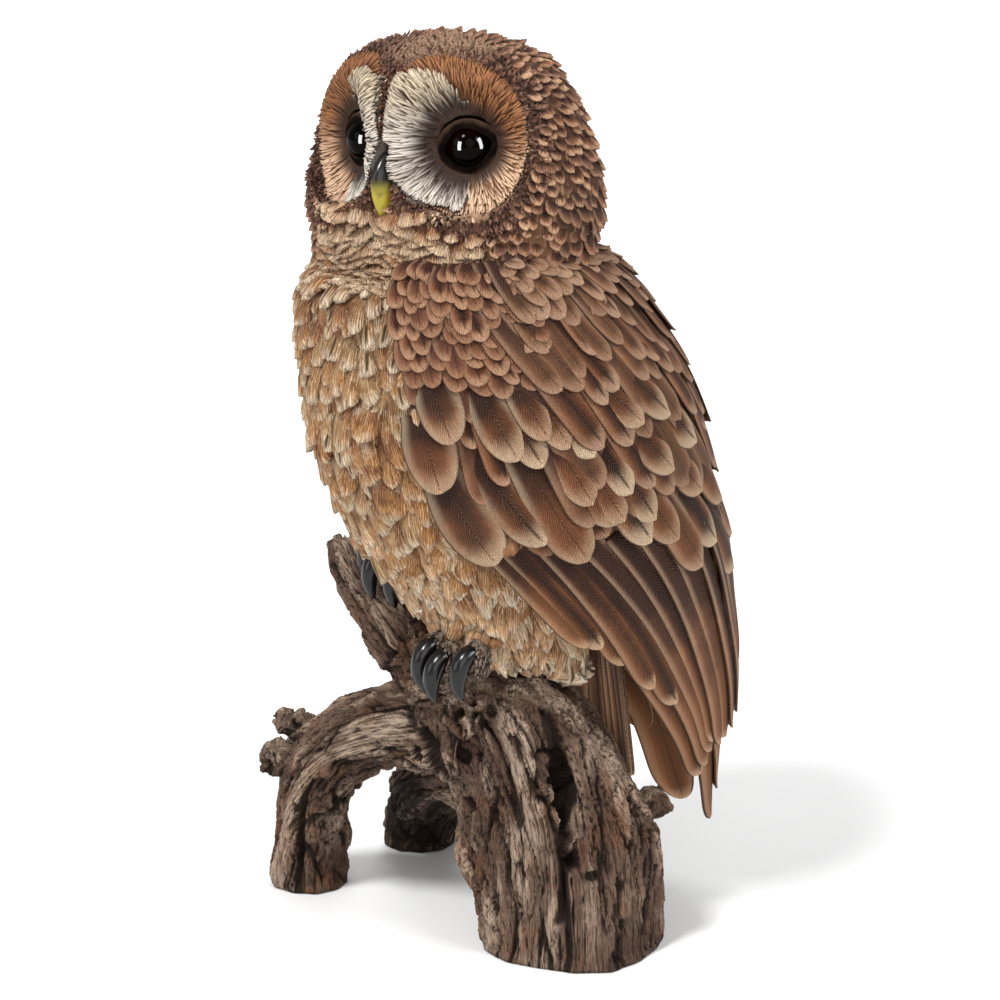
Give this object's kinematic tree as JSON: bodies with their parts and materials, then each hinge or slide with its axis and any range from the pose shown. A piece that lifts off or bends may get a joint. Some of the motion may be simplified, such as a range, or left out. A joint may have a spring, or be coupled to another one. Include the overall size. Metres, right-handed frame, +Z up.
{
  "type": "tawny owl garden statue on a log",
  "caption": "Life-size cast resin figure of a tawny owl perched on a gnarled log, head turned to its left, with glossy black eyes.",
  "frame": {"origin": "on the floor, at the centre of the model's bounding box", "axes": "+Z up, the breast faces -Y, the bird's left side is +X"},
  "size_m": [0.2078, 0.2092, 0.4],
  "materials": {
    "crown_feathers": "painted resin, matt, dark brown feathers with pale edges",
    "face_feathers": "painted resin, matt, russet and cream",
    "breast_feathers": "painted resin, matt, ochre and cream with dark streaks",
    "wing_feathers": "painted resin, satin, purple-brown feathers with pale tips",
    "toes": "painted resin, matt, speckled grey",
    "horn": "glossy lacquer, dark grey",
    "eyes": "polished opaque black glass",
    "bark": "painted resin, matt, grey-brown bark with pale dry-brushed ridges"
  },
  "bodies": {
    "root": {"head": "crown_feathers", "neck": "breast_feathers", "face_disc_left": "face_feathers", "face_disc_right": "face_feathers", "eye_left": "eyes", "eye_right": "eyes", "beak": "horn", "trunk": "breast_feathers", "wing_left_coverts": "wing_feathers", "wing_right_coverts": "wing_feathers", "wing_left_flight": "wing_feathers", "wing_right_flight": "wing_feathers", "tail": "wing_feathers", "leg_left": "breast_feathers", "leg_right": "breast_feathers", "foot_left": "toes", "foot_right": "toes", "claw_left_1": "horn", "claw_left_2": "horn", "claw_left_3": "horn", "claw_right_1": "horn", "claw_right_2": "horn", "claw_right_3": "horn", "log_front_leg": "bark", "log_perch": "bark", "log_branch": "bark", "log_arm": "bark", "log_left_leg": "bark", "log_rear_leg": "bark", "log_knot_right": "bark", "log_knot_left_high": "bark", "log_knot_left_low": "bark"}
  },
  "joints": []
}
